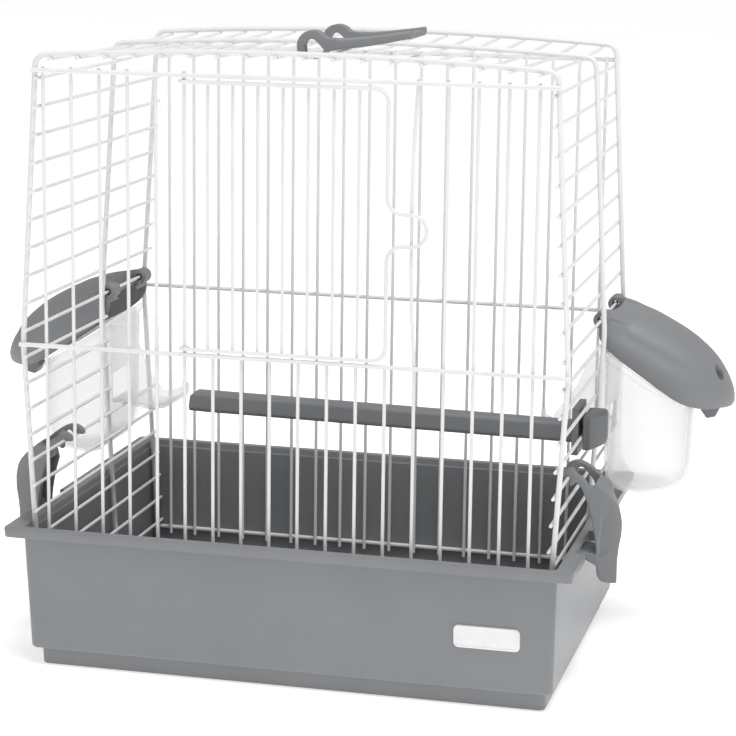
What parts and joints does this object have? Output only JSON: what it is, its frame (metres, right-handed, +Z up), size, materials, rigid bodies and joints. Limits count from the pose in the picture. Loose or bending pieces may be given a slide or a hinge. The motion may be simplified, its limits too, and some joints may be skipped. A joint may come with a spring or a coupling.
{
  "type": "bird travel carrier",
  "caption": "Small bird travel carrier: plastic tray, domed wire cage with a front door, perch, folding handle, clear side feeders with hinged hoods, and side clips.",
  "frame": {"origin": "middle of the base that the tray stands on", "axes": "+X to the carrier's right, +Y to its back, +Z up; the door faces -Y"},
  "size_m": [0.4182, 0.215, 0.3377],
  "materials": {
    "grey_plastic": "satin moulded polypropylene",
    "white_wire": "white powder coat on steel wire",
    "clear_plastic": "clear moulded polystyrene",
    "plate_white": "smooth, blank"
  },
  "bodies": {
    "carrier": {"tray": "grey_plastic", "label_plate": "plate_white", "front_hoop": "white_wire", "middle_hoop": "white_wire", "back_hoop": "white_wire", "front_top_wire": "white_wire", "front_wires_left": "white_wire", "front_wires_right": "white_wire", "front_panel_lower": "white_wire", "back_panel": "white_wire", "left_wires_upper": "white_wire", "left_wires_middle": "white_wire", "left_wires_lower": "white_wire", "right_wires_upper": "white_wire", "right_wires_middle": "white_wire", "right_wires_lower": "white_wire", "roof_wires": "white_wire", "perch_bar": "grey_plastic", "perch_clamp": "grey_plastic", "left_cup": "clear_plastic", "right_cup": "clear_plastic", "left_trough": "clear_plastic", "right_trough": "clear_plastic"},
    "door": {"door_frame": "white_wire", "door_wires": "white_wire"},
    "handle": {"handle": "grey_plastic"},
    "left_hood": {"left_hood": "grey_plastic"},
    "right_hood": {"right_hood": "grey_plastic"},
    "left_clip": {"left_clip": "grey_plastic"},
    "right_clip": {"right_clip": "grey_plastic"}
  },
  "joints": [
    {"name": "door_hinge", "type": "hinge", "parent": "carrier", "child": "door", "pos_m": [-0.05465, -0.09365, 0.243], "axis": [0, 0, -1], "range_deg": [0, 150]},
    {"name": "handle_hinge", "type": "hinge", "parent": "carrier", "child": "handle", "pos_m": [0.00735, -0.058, 0.32319], "axis": [0, -1, 0], "range_deg": [0, 82]},
    {"name": "left_hood_hinge", "type": "hinge", "parent": "carrier", "child": "left_hood", "pos_m": [-0.1398, 0.057, 0.17992], "axis": [0, 1, 0], "range_deg": [0, 65]},
    {"name": "right_hood_hinge", "type": "hinge", "parent": "carrier", "child": "right_hood", "pos_m": [0.1398, 0.057, 0.17992], "axis": [0, -1, 0], "range_deg": [0, 65]},
    {"name": "left_clip_hinge", "type": "hinge", "parent": "carrier", "child": "left_clip", "pos_m": [-0.13698, -0.041, 0.11167], "axis": [0, 1, 0], "range_deg": [0, 85]},
    {"name": "right_clip_hinge", "type": "hinge", "parent": "carrier", "child": "right_clip", "pos_m": [0.13698, -0.041, 0.11167], "axis": [0, -1, 0], "range_deg": [0, 85]}
  ]
}
